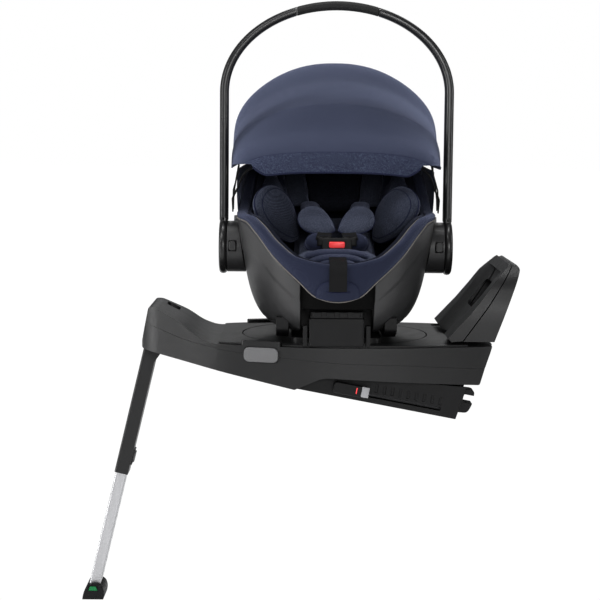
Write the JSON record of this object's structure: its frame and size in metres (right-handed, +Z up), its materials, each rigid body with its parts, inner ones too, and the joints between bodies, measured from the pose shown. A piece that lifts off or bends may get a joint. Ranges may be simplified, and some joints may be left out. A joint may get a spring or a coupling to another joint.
{
  "type": "infant car seat with swivel base",
  "caption": "Infant carrier with folding handle and canopy, docked on a swivelling vehicle base with a telescopic support leg.",
  "frame": {"origin": "where the swivel axis meets the flat sloping underside of the base", "axes": "+X towards the rebound bar, -X towards the support leg, +Y towards the head end of the seat, +Z up along the swivel axis"},
  "size_m": [0.793, 0.6368, 1.11],
  "materials": {
    "housing_plastic": "fine-grained charcoal moulded plastic",
    "deck_plastic": "satin charcoal moulded plastic",
    "black_plastic": "black moulded plastic",
    "grey_plastic": "grained mid grey plastic",
    "panel_plastic": "fine-grained dark grey plastic",
    "cover_fabric": "navy blue brushed knit",
    "heather_fabric": "dark navy heathered knit",
    "webbing": "black woven webbing",
    "eps_foam": "expanded bead foam",
    "steel": "plain steel",
    "leg_aluminium": "satin anodised tube",
    "red_plastic": "coral red button",
    "green_plastic": "green indicator"
  },
  "bodies": {
    "base": {"lower_housing": "housing_plastic", "upper_housing": "housing_plastic", "deck_cover": "deck_plastic", "swivel_bearing": "steel", "deck_plate": "steel", "connector_housing": "black_plastic", "rebound_front": "housing_plastic", "rebound_back": "housing_plastic", "leg_pin": "steel"},
    "nose_release": {"nose_release": "black_plastic"},
    "swivel_button_near": {"swivel_button_near": "grey_plastic"},
    "swivel_button_far": {"swivel_button_far": "grey_plastic"},
    "turntable": {"turntable": "black_plastic", "latch_block": "black_plastic"},
    "latch_lever": {"latch_lever": "black_plastic"},
    "carrier": {"seat_shell": "black_plastic", "foam_liner": "eps_foam", "seat_lining": "cover_fabric", "rim_cover": "cover_fabric", "side_panel_left": "panel_plastic", "side_panel_right": "panel_plastic", "runner_left": "black_plastic", "runner_right": "black_plastic", "handle_hub_left": "housing_plastic", "handle_hub_right": "housing_plastic", "canopy_hinge_left": "grey_plastic", "canopy_hinge_right": "grey_plastic", "canopy_bow_rear": "black_plastic", "canopy_rear": "cover_fabric", "seat_insert": "heather_fabric", "crotch_pad": "cover_fabric", "buckle": "black_plastic", "shoulder_pad_left": "heather_fabric", "shoulder_pad_right": "heather_fabric", "shoulder_strap_left": "webbing", "shoulder_strap_right": "webbing", "adjuster_strap": "webbing"},
    "headrest": {"headrest": "heather_fabric"},
    "buckle_button": {"buckle_button": "red_plastic"},
    "handle": {"handle_arm_left": "housing_plastic", "handle_arm_right": "housing_plastic", "handle_grip": "black_plastic"},
    "handle_button_left": {"handle_button_left": "grey_plastic"},
    "handle_button_right": {"handle_button_right": "grey_plastic"},
    "canopy_middle": {"canopy_bow_middle": "black_plastic", "canopy_middle": "cover_fabric"},
    "canopy_front": {"canopy_bow_front": "black_plastic", "canopy_front": "cover_fabric"},
    "leg": {"leg_outer": "housing_plastic"},
    "leg_button": {"leg_button": "grey_plastic"},
    "leg_tube": {"leg_inner": "leg_aluminium", "leg_foot": "black_plastic", "foot_indicator": "green_plastic"},
    "connectors": {"connector_frame": "steel", "slider_knob_near": "grey_plastic", "slider_knob_far": "grey_plastic", "connector_near": "black_plastic", "connector_far": "black_plastic"},
    "connector_hook_near": {"connector_hook_near": "steel"},
    "connector_hook_far": {"connector_hook_far": "steel"}
  },
  "joints": [
    {"name": "swivel", "type": "hinge", "parent": "base", "child": "turntable", "pos_m": [0, 0, 0.08], "axis": [0, 0, 1], "continuous": true},
    {"name": "carrier_lift", "type": "slide", "parent": "turntable", "child": "carrier", "axis": [0, 0, 1], "range_m": [0, 0.18]},
    {"name": "latch_lever_pull", "type": "slide", "parent": "turntable", "child": "latch_lever", "axis": [0, 0, 1], "range_m": [0, 0.005]},
    {"name": "handle_fold", "type": "hinge", "parent": "carrier", "child": "handle", "pos_m": [0, 0.01, 0.251], "axis": [-1, 0, 0], "range_deg": [0, 88]},
    {"name": "handle_button_left_press", "type": "slide", "parent": "carrier", "child": "handle_button_left", "axis": [0, 1, 0], "range_m": [0, 0.003], "stiffness_N_per_m": 400},
    {"name": "handle_button_right_press", "type": "slide", "parent": "carrier", "child": "handle_button_right", "axis": [0, 1, 0], "range_m": [0, 0.003], "stiffness_N_per_m": 400},
    {"name": "canopy_middle_fold", "type": "hinge", "parent": "carrier", "child": "canopy_middle", "pos_m": [0, 0.04, 0.299], "axis": [-1, 0, 0], "range_deg": [0, 16], "deforming": ["canopy_middle"]},
    {"name": "canopy_front_fold", "type": "hinge", "parent": "canopy_middle", "child": "canopy_front", "pos_m": [0, 0.04, 0.299], "axis": [-1, 0, 0], "range_deg": [0, 19.2], "deforming": ["canopy_front"]},
    {"name": "headrest_height", "type": "slide", "parent": "carrier", "child": "headrest", "axis": [0, 0.55, 0.8352], "range_m": [0, 0.045]},
    {"name": "buckle_press", "type": "slide", "parent": "carrier", "child": "buckle_button", "axis": [0, 1, 0], "range_m": [0, 0.003], "stiffness_N_per_m": 600},
    {"name": "nose_release_press", "type": "slide", "parent": "base", "child": "nose_release", "axis": [0, 0, -1], "range_m": [0, 0.0025], "stiffness_N_per_m": 500},
    {"name": "swivel_button_near_press", "type": "slide", "parent": "base", "child": "swivel_button_near", "axis": [0.2554, 0.9668, 0], "range_m": [0, 0.003], "stiffness_N_per_m": 400},
    {"name": "swivel_button_far_press", "type": "slide", "parent": "base", "child": "swivel_button_far", "axis": [0.2554, -0.9668, 0], "range_m": [0, 0.003], "stiffness_N_per_m": 400},
    {"name": "leg_fold", "type": "hinge", "parent": "base", "child": "leg", "pos_m": [-0.336, 0, 0.076], "axis": [0, -1, 0], "range_deg": [0, 80]},
    {"name": "leg_length", "type": "slide", "parent": "leg", "child": "leg_tube", "axis": [0.23, 0, 0.9732], "range_m": [0, 0.15]},
    {"name": "leg_button_press", "type": "slide", "parent": "leg", "child": "leg_button", "axis": [-0.9732, 0, 0.23], "range_m": [0, 0.002], "stiffness_N_per_m": 400},
    {"name": "connector_slide", "type": "slide", "parent": "base", "child": "connectors", "axis": [0.9833, 0, -0.1822], "range_m": [0, 0.13]},
    {"name": "connector_hook_near_turn", "type": "hinge", "parent": "connectors", "child": "connector_hook_near", "pos_m": [0.21282, -0.14, -0.01504], "axis": [0, 1, 0], "range_deg": [0, 6], "stiffness_Nm_per_rad": 0.3},
    {"name": "connector_hook_far_turn", "type": "hinge", "parent": "connectors", "child": "connector_hook_far", "pos_m": [0.21282, 0.14, -0.01504], "axis": [0, 1, 0], "range_deg": [0, 6], "stiffness_Nm_per_rad": 0.3}
  ],
  "couplings": [
    {"joint": "canopy_front_fold", "follows": "canopy_middle_fold", "ratio": 1.2}
  ]
}
